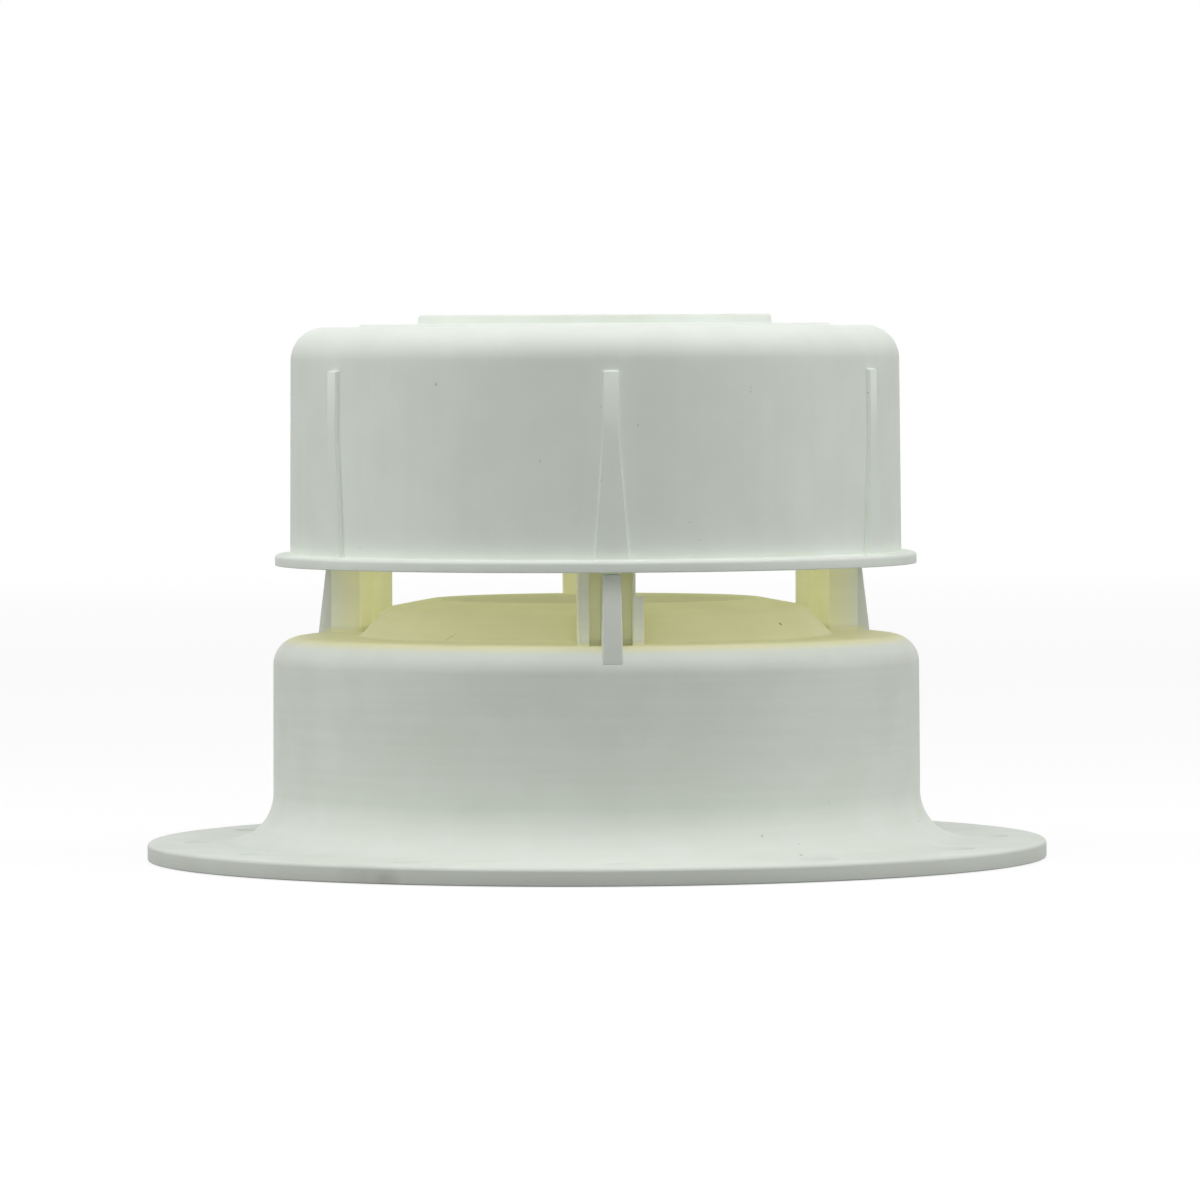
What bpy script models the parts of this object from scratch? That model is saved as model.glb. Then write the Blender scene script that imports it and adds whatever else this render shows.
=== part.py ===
"""Roof vent cap for a holding tank: a round base moulding and the cap that pulls off it.

The base stands on its flange, with the underside at z = 0 and the axis on z.
Azimuths are measured from the -Y side towards +X.
"""
import math

import bmesh
import bpy
from mathutils import Matrix

# Fineness of round shapes
TURN_STEPS = 60
HOLE_SIDES = 16

# Clearances between the two mouldings
SEAT_GAP = 0.0003
RUNNING_GAP = 0.0004

# Base: opening that the pipe comes up through, and the dome round it
OPENING_RADIUS = 0.0307
BASE_WALL = 0.0022
NECK_DEPTH = 0.0060
RIM_ROUND = 0.0005
DOME_RISE = 0.0073
DOME_TOP_WIDTH = 0.0084
DOME_TOP_SLOPE = math.radians(10.5)
DOME_SIDE_WIDTH = 0.0055
DOME_SHOULDER_ROUND = 0.0040
DOME_FOOT_FILLET = 0.0012

# Base: legs that carry the cap, set out from the dome
LEG_COUNT = 3
LEG_TURN = math.radians(2.9)
SIDE_LEG_TURN = math.radians(-2.15)
LEG_SETBACK = 0.0019
LEG_RIB_DEPTH = 0.0018
LEG_WALL = 0.0020
LEG_DEPTH = 0.0078
LEG_HALF_WIDTH = 0.0063
LEG_BAR_WIDTH = 0.0022
LEG_REACH_INTO_CAP = 0.0200
LEG_TOP_CHAMFER = 0.0010
LEG_ROOT = 0.0012
FIN_ROOT_EXTRA = 0.0003
FIN_HALF_TOP = 0.00175
FIN_DRAFT = math.radians(0.7)
FIN_OUTER_DRAFT = math.radians(7.5)
FIN_FOOT_SETBACK = 0.0003
FIN_FOOT_DROP = 0.0034
SHORT_BAR_HEIGHT = 0.0095
SHORT_BAR_STRIP = 0.0006
POST_HALF_WIDTH = 0.0042

# Cap: wall, lip and stepped top
CAP_WALL = 0.0022
CAP_HEIGHT = 0.0470
CAP_DRAFT = 0.00035
CAP_SHOULDER_ROUND = 0.0066
VENT_GAP = 0.0141
LIP_OVERHANG = 0.0030
LIP_THICKNESS = 0.0023
LIP_EDGE_ROUND = 0.0006
PLATEAU_INSET = 0.0143
PLATEAU_RISE = 0.0005
DISC_INSET = 0.0114
DISC_RISE = 0.0018
DISC_DRAFT = 0.0003
TOP_EDGE_ROUND = 0.0004

# Cap: ribs down the outside of the wall, with a slot behind each
RIB_COUNT = 6
RIB_TOP_BELOW_CROWN = 0.0086
RIB_STRAIGHT_LENGTH = 0.0125
RIB_TOP_WIDTH = 0.0030
RIB_FOOT_WIDTH = 0.0067
RIB_STANDOFF = 0.0007
SLOT_DEPTH = 0.0007
SLOT_LEAD_IN = 0.0006

# Base: collar under the cap's lip
COLLAR_OVERHANG = 0.0034
COLLAR_HEIGHT = 0.0440
COLLAR_DRAFT = 0.0002
COLLAR_TOP_ROUND = 0.0055
COLLAR_FOOT_FILLET = 0.0097

# Base: flange and its screw holes
FLANGE_WIDTH = 0.0251
FLANGE_THICKNESS = 0.0035
FLANGE_EDGE_ROUND = 0.0008
FLANGE_UNDER_ROUND = 0.0003
SCREW_COUNT = 12
SCREW_TURN = math.radians(3.0)
SCREW_EDGE_DISTANCE = 0.0115
SCREW_HOLE_RADIUS = 0.0022
COUNTERSINK_RADIUS = 0.0044
COUNTERSINK_DEPTH = 0.0018

# Radii that follow, from the opening outwards
RIM_OUTER_RADIUS = OPENING_RADIUS + BASE_WALL
DOME_SHOULDER_RADIUS = RIM_OUTER_RADIUS + DOME_TOP_WIDTH
DOME_FOOT_RADIUS = DOME_SHOULDER_RADIUS + DOME_SIDE_WIDTH
FIN_INNER_RADIUS = DOME_FOOT_RADIUS + LEG_SETBACK
LEG_WALL_RADIUS = FIN_INNER_RADIUS + LEG_RIB_DEPTH
CAP_INNER_RADIUS = LEG_WALL_RADIUS + LEG_DEPTH
CAP_RADIUS = CAP_INNER_RADIUS + CAP_WALL
LIP_RADIUS = CAP_RADIUS + LIP_OVERHANG
PLATEAU_RADIUS = CAP_RADIUS - PLATEAU_INSET
DISC_RADIUS = PLATEAU_RADIUS - DISC_INSET
COLLAR_RADIUS = CAP_RADIUS + COLLAR_OVERHANG
FLANGE_RADIUS = COLLAR_RADIUS + FLANGE_WIDTH
SCREW_CIRCLE_RADIUS = FLANGE_RADIUS - SCREW_EDGE_DISTANCE

# Heights that follow
DECK_Z = COLLAR_HEIGHT
RIM_Z = DECK_Z + DOME_RISE
LIP_Z = DECK_Z + VENT_GAP
CROWN_Z = LIP_Z + CAP_HEIGHT
LEG_TOP_Z = LIP_Z + LEG_REACH_INTO_CAP


def clear_scene():
    """Remove the objects that are in the scene already."""
    for existing in list(bpy.data.objects):
        bpy.data.objects.remove(existing, do_unlink=True)


def rounded(corners):
    """Turn (radius, height, fillet, steps) corners of a closed outline into points.

    Each corner becomes an arc tangent to its two sides. A fillet is limited to what its sides leave.
    """
    points = []
    count = len(corners)
    for index, (x, z, fillet, steps) in enumerate(corners):
        before = corners[index - 1]
        after = corners[(index + 1) % count]
        to_before = (before[0] - x, before[1] - z)
        to_after = (after[0] - x, after[1] - z)
        length_before = math.hypot(*to_before)
        length_after = math.hypot(*to_after)
        u = (to_before[0] / length_before, to_before[1] / length_before)
        v = (to_after[0] / length_after, to_after[1] / length_after)
        half_angle = math.acos(max(-1.0, min(1.0, u[0] * v[0] + u[1] * v[1]))) / 2
        if fillet <= 0 or half_angle > math.radians(89.5):
            points.append((x, z))
            continue
        reach = min(fillet / math.tan(half_angle), 0.49 * length_before, 0.49 * length_after)
        radius = reach * math.tan(half_angle)
        bisector = (u[0] + v[0], u[1] + v[1])
        scale = radius / math.sin(half_angle) / math.hypot(*bisector)
        centre = (x + bisector[0] * scale, z + bisector[1] * scale)
        start = math.atan2(z + u[1] * reach - centre[1], x + u[0] * reach - centre[0])
        end = math.atan2(z + v[1] * reach - centre[1], x + v[0] * reach - centre[0])
        sweep = (end - start + math.pi) % (2 * math.pi) - math.pi
        for step in range(steps + 1):
            angle = start + sweep * step / steps
            points.append((centre[0] + radius * math.cos(angle), centre[1] + radius * math.sin(angle)))
    return points


def parallel(path, distance):
    """Offset an open (radius, height) path to its right-hand side, with mitred corners."""
    normals = []
    for (x0, z0), (x1, z1) in zip(path, path[1:]):
        length = math.hypot(x1 - x0, z1 - z0)
        normals.append(((z1 - z0) / length, -(x1 - x0) / length))
    shifted = []
    for index, (x, z) in enumerate(path):
        first = normals[max(index - 1, 0)]
        second = normals[min(index, len(normals) - 1)]
        mitre = (first[0] + second[0], first[1] + second[1])
        scale = distance / (1 + first[0] * second[0] + first[1] * second[1])
        shifted.append((x + mitre[0] * scale, z + mitre[1] * scale))
    return shifted


def new_object(name, bm):
    """Write a bmesh to a new named object, with its faces pointing outwards."""
    bmesh.ops.remove_doubles(bm, verts=bm.verts, dist=0.000001)
    bmesh.ops.recalc_face_normals(bm, faces=bm.faces)
    mesh = bpy.data.meshes.new(name)
    bm.to_mesh(mesh)
    bm.free()
    made = bpy.data.objects.new(name, mesh)
    bpy.context.collection.objects.link(made)
    return made


def turned(name, outline, closed):
    """Spin an outline about the z axis. A closed outline stays clear of the axis."""
    bm = bmesh.new()
    verts = [bm.verts.new((x, 0.0, z)) for x, z in outline]
    edges = [bm.edges.new(pair) for pair in zip(verts, verts[1:])]
    if closed:
        edges.append(bm.edges.new((verts[-1], verts[0])))
    bmesh.ops.spin(
        bm,
        geom=verts + edges,
        cent=(0.0, 0.0, 0.0),
        axis=(0.0, 0.0, 1.0),
        angle=2 * math.pi,
        steps=TURN_STEPS,
        use_merge=True,
    )
    return new_object(name, bm)


def azimuth_frame(azimuth):
    """Matrix that turns local +X to point outwards at an azimuth, keeping z upright."""
    return Matrix.Rotation(azimuth - math.pi / 2, 4, "Z")


def prism(name, outline, low, high, azimuth):
    """Extrude a plan outline, given as (outwards, sideways) points, between two heights."""
    bm = bmesh.new()
    face = bm.faces.new([bm.verts.new((x, y, low)) for x, y in outline])
    raised = bmesh.ops.extrude_face_region(bm, geom=[face])["geom"]
    top = [item for item in raised if isinstance(item, bmesh.types.BMVert)]
    bmesh.ops.translate(bm, verts=top, vec=(0.0, 0.0, high - low))
    bmesh.ops.transform(bm, matrix=azimuth_frame(azimuth), verts=bm.verts)
    return new_object(name, bm)


def plate(name, corners, azimuth):
    """Build an upright radial plate from (outwards, height, half thickness) corners."""
    bm = bmesh.new()
    left = [bm.verts.new((x, half, z)) for x, z, half in corners]
    right = [bm.verts.new((x, -half, z)) for x, z, half in corners]
    bm.faces.new(left)
    bm.faces.new(right)
    count = len(corners)
    for index in range(count):
        after = (index + 1) % count
        bm.faces.new((left[index], left[after], right[after], right[index]))
    bmesh.ops.transform(bm, matrix=azimuth_frame(azimuth), verts=bm.verts)
    return new_object(name, bm)


def combine(target, tool, operation):
    """Join a tool to a target, or cut it out, and keep the tool out of the model."""
    tool.hide_render = True
    tool.display_type = "WIRE"
    modifier = target.modifiers.new(tool.name, "BOOLEAN")
    modifier.operation = operation
    modifier.solver = "EXACT"
    modifier.object = tool


def smooth(made, angle):
    """Shade an object smooth, with edges sharper than the angle kept crisp."""
    made.data.shade_smooth()
    made.data.set_sharp_from_angle(angle=angle)


def plastic(name, colour, roughness):
    """Make a moulded plastic material."""
    material = bpy.data.materials.new(name)
    material.use_nodes = True
    shader = material.node_tree.nodes["Principled BSDF"]
    shader.inputs["Base Color"].default_value = (*colour, 1.0)
    shader.inputs["Roughness"].default_value = roughness
    shader.inputs["Metallic"].default_value = 0.0
    return material


def base_outline():
    """Outline of the base moulding: outside from the rim down, then back up the inside."""
    shoulder_z = RIM_Z - (DOME_SHOULDER_RADIUS - RIM_OUTER_RADIUS) * math.tan(DOME_TOP_SLOPE)
    outside = [
        (RIM_OUTER_RADIUS, RIM_Z),
        (DOME_SHOULDER_RADIUS, shoulder_z),
        (DOME_FOOT_RADIUS, DECK_Z),
        (COLLAR_RADIUS, DECK_Z),
        (COLLAR_RADIUS + COLLAR_DRAFT, FLANGE_THICKNESS),
    ]
    neck, shoulder, foot, collar_top, collar_foot = parallel(outside, BASE_WALL)
    neck_z = neck[1] - (RIM_OUTER_RADIUS - neck[0]) * math.tan(DOME_TOP_SLOPE)
    return rounded([
        (OPENING_RADIUS, RIM_Z, RIM_ROUND, 2),
        (*outside[0], RIM_ROUND, 2),
        (*outside[1], DOME_SHOULDER_ROUND, 4),
        (*outside[2], DOME_FOOT_FILLET, 2),
        (*outside[3], COLLAR_TOP_ROUND, 5),
        (*outside[4], COLLAR_FOOT_FILLET, 7),
        (FLANGE_RADIUS, FLANGE_THICKNESS, FLANGE_EDGE_ROUND, 3),
        (FLANGE_RADIUS, 0.0, FLANGE_UNDER_ROUND, 1),
        (collar_foot[0], 0.0, COLLAR_FOOT_FILLET + BASE_WALL, 5),
        (*collar_top, COLLAR_TOP_ROUND - BASE_WALL, 3),
        (*foot, DOME_FOOT_FILLET, 1),
        (*shoulder, DOME_SHOULDER_ROUND - BASE_WALL, 2),
        (RIM_OUTER_RADIUS, neck_z, 0.0, 0),
        (RIM_OUTER_RADIUS, RIM_Z - NECK_DEPTH, 0.0, 0),
        (OPENING_RADIUS, RIM_Z - NECK_DEPTH, 0.0, 0),
    ])


def screw_cutter(index):
    """Countersunk screw hole, as the solid that it takes out of the flange."""
    reach = COUNTERSINK_RADIUS - SCREW_HOLE_RADIUS
    cone_rise = FLANGE_THICKNESS - COUNTERSINK_DEPTH
    outline = [
        (0.0, -FLANGE_THICKNESS),
        (SCREW_HOLE_RADIUS, -FLANGE_THICKNESS),
        (SCREW_HOLE_RADIUS, cone_rise),
        (COUNTERSINK_RADIUS, FLANGE_THICKNESS),
        (COUNTERSINK_RADIUS + reach, FLANGE_THICKNESS + COUNTERSINK_DEPTH),
        (0.0, FLANGE_THICKNESS + COUNTERSINK_DEPTH),
    ]
    bm = bmesh.new()
    verts = [bm.verts.new((x, 0.0, z)) for x, z in outline]
    edges = [bm.edges.new(pair) for pair in zip(verts, verts[1:])]
    bmesh.ops.spin(
        bm,
        geom=verts + edges,
        cent=(0.0, 0.0, 0.0),
        axis=(0.0, 0.0, 1.0),
        angle=2 * math.pi,
        steps=HOLE_SIDES,
        use_merge=True,
    )
    azimuth = SCREW_TURN + 2 * math.pi * index / SCREW_COUNT
    shift = azimuth_frame(azimuth) @ Matrix.Translation((SCREW_CIRCLE_RADIUS, 0.0, 0.0))
    bmesh.ops.transform(bm, matrix=shift, verts=bm.verts)
    return new_object("screw_cutter_%d" % (index + 1), bm)


def fin_corners():
    """Side view of a leg's fin: foot over the collar's edge, shoulder under the lip, tongue in the cap."""
    foot_z = DECK_Z - FIN_FOOT_DROP
    shoulder_z = LIP_Z - SEAT_GAP
    foot_radius = COLLAR_RADIUS - FIN_FOOT_SETBACK
    shoulder_radius = foot_radius - (shoulder_z - foot_z) * math.tan(FIN_OUTER_DRAFT)
    tongue_radius = CAP_INNER_RADIUS + SLOT_DEPTH - RUNNING_GAP
    root_z = DECK_Z - LEG_ROOT - FIN_ROOT_EXTRA
    outline = [
        (FIN_INNER_RADIUS, root_z),
        (COLLAR_RADIUS - COLLAR_TOP_ROUND / 2, root_z),
        (COLLAR_RADIUS - BASE_WALL / 2, foot_z),
        (foot_radius, foot_z),
        (shoulder_radius, shoulder_z),
        (tongue_radius, shoulder_z),
        (tongue_radius, LEG_TOP_Z - LEG_TOP_CHAMFER),
        (tongue_radius - LEG_TOP_CHAMFER, LEG_TOP_Z),
        (FIN_INNER_RADIUS, LEG_TOP_Z),
    ]
    spread = math.tan(FIN_DRAFT)
    return [(x, z, FIN_HALF_TOP + max(shoulder_z - z, 0.0) * spread) for x, z in outline]


def leg_channel_outline():
    """Plan of a leg's back wall and side bars, open outwards. The bars end just inside the cap."""
    corner_radius = CAP_INNER_RADIUS - RUNNING_GAP
    outer = math.sqrt(corner_radius ** 2 - LEG_HALF_WIDTH ** 2)
    inner = LEG_WALL_RADIUS
    inside = LEG_HALF_WIDTH - LEG_BAR_WIDTH
    return [
        (inner, -LEG_HALF_WIDTH),
        (outer, -LEG_HALF_WIDTH),
        (outer, -inside),
        (inner + LEG_WALL, -inside),
        (inner + LEG_WALL, inside),
        (outer, inside),
        (outer, LEG_HALF_WIDTH),
        (inner, LEG_HALF_WIDTH),
    ]


def leg_azimuth(index):
    """Azimuth of a leg. The two side legs stand a little off the places of an equal spacing."""
    azimuth = LEG_TURN + 2 * math.pi * index / LEG_COUNT
    return azimuth + SIDE_LEG_TURN if index > 0 else azimuth


def add_legs(base):
    """Join the legs to the base, and the plain post that stands across from the front leg."""
    wall_top = LEG_TOP_Z - LEG_TOP_CHAMFER
    root_z = DECK_Z - LEG_ROOT
    for index in range(LEG_COUNT):
        azimuth = leg_azimuth(index)
        channel = prism("leg_channel_%d" % (index + 1), leg_channel_outline(), root_z, wall_top, azimuth)
        if index == 0:
            combine(channel, short_bar_cutter(azimuth), "DIFFERENCE")
        combine(base, channel, "UNION")
        combine(base, plate("leg_fin_%d" % (index + 1), fin_corners(), azimuth), "UNION")
    post_outline = [
        (LEG_WALL_RADIUS, -POST_HALF_WIDTH),
        (LEG_WALL_RADIUS + LEG_WALL, -POST_HALF_WIDTH),
        (LEG_WALL_RADIUS + LEG_WALL, POST_HALF_WIDTH),
        (LEG_WALL_RADIUS, POST_HALF_WIDTH),
    ]
    combine(base, prism("rear_post", post_outline, root_z, wall_top, LEG_TURN + math.pi), "UNION")


def short_bar_cutter(azimuth):
    """Solid that takes the top off the front leg's right-hand bar, but for a thin strip, and the wall behind."""
    inside = LEG_HALF_WIDTH - LEG_BAR_WIDTH + SHORT_BAR_STRIP
    inner = LEG_WALL_RADIUS - LEG_WALL / 4
    outline = [
        (inner, inside),
        (COLLAR_RADIUS, inside),
        (COLLAR_RADIUS, LEG_HALF_WIDTH + LEG_WALL),
        (inner, LEG_HALF_WIDTH + LEG_WALL),
    ]
    return prism("short_bar_cutter", outline, DECK_Z + SHORT_BAR_HEIGHT, LEG_TOP_Z + LEG_WALL, azimuth)


def build_base(material):
    """Base moulding: flange, collar, dome with the pipe opening, legs and screw holes."""
    base = turned("vent_base", base_outline(), closed=True)
    add_legs(base)
    for index in range(SCREW_COUNT):
        combine(base, screw_cutter(index), "DIFFERENCE")
    base.data.materials.append(material)
    smooth(base, math.radians(35))
    return base


def cap_outline():
    """Outline of the cap moulding: from the centre of its top, down the outside, back up the inside."""
    shoulder_radius = CAP_RADIUS - CAP_DRAFT
    disc_z = CROWN_Z + PLATEAU_RISE + DISC_RISE
    plateau_z = CROWN_Z + PLATEAU_RISE
    ceiling_z = CROWN_Z - CAP_WALL
    corners = [
        (0.0, disc_z, 0.0, 0),
        (DISC_RADIUS, disc_z, TOP_EDGE_ROUND, 2),
        (DISC_RADIUS + DISC_DRAFT, plateau_z, 0.0, 0),
        (PLATEAU_RADIUS, plateau_z, 0.0, 0),
        (PLATEAU_RADIUS + PLATEAU_RISE, CROWN_Z, 0.0, 0),
        (shoulder_radius, CROWN_Z, CAP_SHOULDER_ROUND, 7),
        (CAP_RADIUS, LIP_Z + LIP_THICKNESS, TOP_EDGE_ROUND, 1),
        (LIP_RADIUS, LIP_Z + LIP_THICKNESS, LIP_EDGE_ROUND, 2),
        (LIP_RADIUS, LIP_Z, LIP_EDGE_ROUND, 2),
        (CAP_INNER_RADIUS, LIP_Z, 0.0, 0),
        (CAP_INNER_RADIUS - CAP_DRAFT, ceiling_z, CAP_SHOULDER_ROUND - CAP_WALL, 4),
        (DISC_RADIUS, ceiling_z, 0.0, 0),
        (DISC_RADIUS - DISC_RISE, ceiling_z + PLATEAU_RISE + DISC_RISE, 0.0, 0),
        (0.0, ceiling_z + PLATEAU_RISE + DISC_RISE, 0.0, 0),
    ]
    return rounded(corners)


def rib_shape(top_width, foot_width, low, straight_low, high):
    """Front view of a rib or slot: straight at the top, widening towards the foot."""
    return [
        (-foot_width / 2, low),
        (foot_width / 2, low),
        (top_width / 2, straight_low),
        (top_width / 2, high),
        (-top_width / 2, high),
        (-top_width / 2, straight_low),
    ]


def upright_prism(name, shape, inner, outer, azimuth):
    """Extrude a front-view shape, given as (sideways, height) points, between two radii."""
    bm = bmesh.new()
    face = bm.faces.new([bm.verts.new((inner, y, z)) for y, z in shape])
    raised = bmesh.ops.extrude_face_region(bm, geom=[face])["geom"]
    front = [item for item in raised if isinstance(item, bmesh.types.BMVert)]
    bmesh.ops.translate(bm, verts=front, vec=(outer - inner, 0.0, 0.0))
    bmesh.ops.transform(bm, matrix=azimuth_frame(azimuth), verts=bm.verts)
    return new_object(name, bm)


def build_cap(material):
    """Cap moulding: lip, wall, crowned top, outer ribs and the slots that take the fins."""
    cap = turned("vent_cap", cap_outline(), closed=False)
    rib_top = CROWN_Z - RIB_TOP_BELOW_CROWN
    straight_low = rib_top - RIB_STRAIGHT_LENGTH
    rib_low = LIP_Z + LIP_THICKNESS / 2
    slot_top_width = 2 * (FIN_HALF_TOP + RUNNING_GAP)
    slot_foot_width = slot_top_width + 2 * SLOT_LEAD_IN
    slot_top = LEG_TOP_Z + LEG_WALL
    slot_low = LIP_Z - LIP_THICKNESS
    rib = rib_shape(RIB_TOP_WIDTH, RIB_FOOT_WIDTH, rib_low, straight_low, rib_top)
    slot = rib_shape(slot_top_width, slot_foot_width, slot_low, LEG_TOP_Z - LEG_WALL, slot_top)
    for index in range(RIB_COUNT):
        azimuth = LEG_TURN + 2 * math.pi * index / RIB_COUNT
        name = "rib_%d" % (index + 1)
        rib_inner = CAP_RADIUS - CAP_WALL / 2
        combine(cap, upright_prism(name, rib, rib_inner, CAP_RADIUS + RIB_STANDOFF, azimuth), "UNION")
    for index in range(RIB_COUNT):
        azimuth = LEG_TURN + 2 * math.pi * index / RIB_COUNT
        if index % 2 == 0:
            azimuth = leg_azimuth(index // 2)
        name = "slot_%d" % (index + 1)
        slot_inner = CAP_INNER_RADIUS - CAP_WALL
        slot_outer = CAP_INNER_RADIUS + SLOT_DEPTH
        combine(cap, upright_prism(name, slot, slot_inner, slot_outer, azimuth), "DIFFERENCE")
    cap.data.materials.append(material)
    smooth(cap, math.radians(35))
    return cap


def main():
    """Build both mouldings."""
    clear_scene()
    build_base(plastic("white_base_plastic", (0.80, 0.82, 0.76), 0.42))
    build_cap(plastic("white_cap_plastic", (0.80, 0.82, 0.76), 0.42))


main()
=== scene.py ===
"""Looks of a holding tank's roof vent: its two white mouldings, their plastic and a plain studio.

Sizes are in metres unless said otherwise, in the frame of the CAD model. Azimuths are measured from
the -Y side towards +X.
"""
import logging
import math
from dataclasses import dataclass, field
from enum import Enum
from typing import NamedTuple

import bmesh
import bpy
import numpy as np
from mathutils import Matrix, Vector


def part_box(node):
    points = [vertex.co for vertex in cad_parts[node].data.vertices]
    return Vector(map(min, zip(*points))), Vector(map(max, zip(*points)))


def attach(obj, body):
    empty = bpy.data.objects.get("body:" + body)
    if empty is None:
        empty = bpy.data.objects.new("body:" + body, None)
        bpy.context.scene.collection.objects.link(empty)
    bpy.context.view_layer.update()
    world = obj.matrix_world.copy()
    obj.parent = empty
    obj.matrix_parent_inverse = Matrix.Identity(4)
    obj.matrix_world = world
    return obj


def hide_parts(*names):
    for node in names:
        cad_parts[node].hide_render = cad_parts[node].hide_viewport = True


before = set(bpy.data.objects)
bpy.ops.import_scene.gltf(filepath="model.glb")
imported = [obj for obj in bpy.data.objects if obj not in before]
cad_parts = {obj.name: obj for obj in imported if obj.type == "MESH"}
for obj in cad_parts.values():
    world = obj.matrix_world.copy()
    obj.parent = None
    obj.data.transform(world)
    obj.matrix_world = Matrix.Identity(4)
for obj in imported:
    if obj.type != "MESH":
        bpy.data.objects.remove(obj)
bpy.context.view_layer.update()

LOG = logging.getLogger("vent")
MM = 0.001
STRAIGHT = math.radians(89.7)
FILLET_SHARE = 0.49
WELD_DISTANCE = 1e-6
BEVEL_SEGMENTS = 3
BEVEL_ANGLE = math.radians(40)

Corner = tuple[float, float, float, int]
Colour = tuple[float, float, float]
Span = tuple[float, float]


def filleted(corners: list[Corner], closed: bool = False) -> np.ndarray:
    """Turn corners into a path in which each corner is an arc tangent to its two sides.

    Args:
        corners: (radius, height, fillet radius, arc steps) of each corner, in order.
        closed: whether the path returns to its start.

    Returns:
        The path's points, one (radius, height) row each.
    """
    points = []
    count = len(corners)
    for index, (x, z, fillet, steps) in enumerate(corners):
        at_end = not closed and index in (0, count - 1)
        here = np.array((x, z))
        if fillet <= 0 or at_end:
            points.append(here)
            continue
        to_before = np.array(corners[index - 1][:2]) - here
        to_after = np.array(corners[(index + 1) % count][:2]) - here
        u = to_before / np.linalg.norm(to_before)
        v = to_after / np.linalg.norm(to_after)
        half_angle = math.acos(float(np.clip(u @ v, -1.0, 1.0))) / 2
        if half_angle > STRAIGHT:
            points.append(here)
            continue
        room = FILLET_SHARE * min(np.linalg.norm(to_before), np.linalg.norm(to_after))
        reach = min(fillet / math.tan(half_angle), room)
        radius = reach * math.tan(half_angle)
        centre = here + (u + v) / np.linalg.norm(u + v) * radius / math.sin(half_angle)
        first = here + u * reach - centre
        last = here + v * reach - centre
        start = math.atan2(first[1], first[0])
        sweep = (math.atan2(last[1], last[0]) - start + math.pi) % (2 * math.pi) - math.pi
        for angle in start + sweep * np.linspace(0.0, 1.0, steps + 1):
            points.append(centre + radius * np.array((math.cos(angle), math.sin(angle))))
    return np.array(points)


def offset_corners(path: list[tuple[float, float]], distance: float) -> list[tuple[float, float]]:
    """Offset an open path to its right-hand side, with mitred corners.

    Args:
        path: the corners as (radius, height).
        distance: how far the new path lies from the old one.

    Returns:
        The new corners, as many as before.
    """
    points = np.array(path)
    along = np.diff(points, axis=0)
    along /= np.linalg.norm(along, axis=1, keepdims=True)
    normals = np.stack((along[:, 1], -along[:, 0]), axis=1)
    before = np.vstack((normals[:1], normals))
    after = np.vstack((normals, normals[-1:]))
    mitre = (before + after) * distance / (1 + np.sum(before * after, axis=1, keepdims=True))
    return [tuple(point) for point in points + mitre]


def smooth_step(values: np.ndarray) -> np.ndarray:
    """Ease values from 0 to 1, as 3t^2 - 2t^3."""
    t = np.clip(values, 0.0, 1.0)
    return t * t * (3.0 - 2.0 * t)


def around_axis(radius: np.ndarray, azimuth: np.ndarray, height: np.ndarray) -> np.ndarray:
    """Place points by radius, azimuth and height: x = r sin a, y = -r cos a, z = h."""
    radius, azimuth, height = np.broadcast_arrays(radius, azimuth, height)
    return np.stack((radius * np.sin(azimuth), -radius * np.cos(azimuth), height), axis=-1)


def add_object(name: str, data: bpy.types.ID) -> bpy.types.Object:
    """Make an object of a mesh, a light or a camera, and put it in the scene."""
    made = bpy.data.objects.new(name, data)
    bpy.context.scene.collection.objects.link(made)
    return made


@dataclass
class Surface:
    """Point grids and end faces that are sewn into one closed mesh."""

    grids: list[np.ndarray] = field(default_factory=list)
    quads: list[np.ndarray] = field(default_factory=list)
    ends: list[list[int]] = field(default_factory=list)
    total: int = 0

    def add(self, grid: np.ndarray, wrap: bool = True) -> int:
        """Add a grid of points, with a quad between each point and its neighbours.

        Args:
            grid: points by row and column.
            wrap: whether the last column joins the first.

        Returns:
            The number of the grid's first point.
        """
        rows, columns = grid.shape[:2]
        numbers = np.arange(rows * columns).reshape(rows, columns) + self.total
        following = np.roll(numbers, -1, axis=1)
        kept = columns if wrap else columns - 1
        corners = (numbers[:-1], following[:-1], following[1:], numbers[1:])
        self.quads.append(np.stack([part[:, :kept].ravel() for part in corners], axis=1))
        self.grids.append(grid.reshape(-1, 3))
        first = self.total
        self.total += rows * columns
        return first

    def add_tube(self, grid: np.ndarray) -> None:
        """Add a wrapped grid whose first and last rows are each closed by one face."""
        first = self.add(grid)
        rows, columns = grid.shape[:2]
        self.ends.append(list(range(first, first + columns)))
        self.ends.append(list(range(first + (rows - 1) * columns, first + rows * columns)))

    def build(self, name: str) -> bpy.types.Object:
        """Sew the grids together and face the mesh outwards.

        Args:
            name: the new object's name.

        Returns:
            The object, at the origin.
        """
        mesh = bpy.data.meshes.new(name)
        faces = np.concatenate(self.quads).tolist() + self.ends
        mesh.from_pydata(np.concatenate(self.grids).tolist(), [], faces)
        bm = bmesh.new()
        bm.from_mesh(mesh)
        bmesh.ops.remove_doubles(bm, verts=bm.verts, dist=WELD_DISTANCE)
        bmesh.ops.recalc_face_normals(bm, faces=bm.faces)
        bm.to_mesh(mesh)
        bm.free()
        return add_object(name, mesh)


def bake_modifiers(made: bpy.types.Object) -> None:
    """Replace an object's mesh by what its modifiers make of it."""
    evaluated = made.evaluated_get(bpy.context.evaluated_depsgraph_get())
    mesh = bpy.data.meshes.new_from_object(evaluated)
    made.modifiers.clear()
    made.data = mesh


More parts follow.
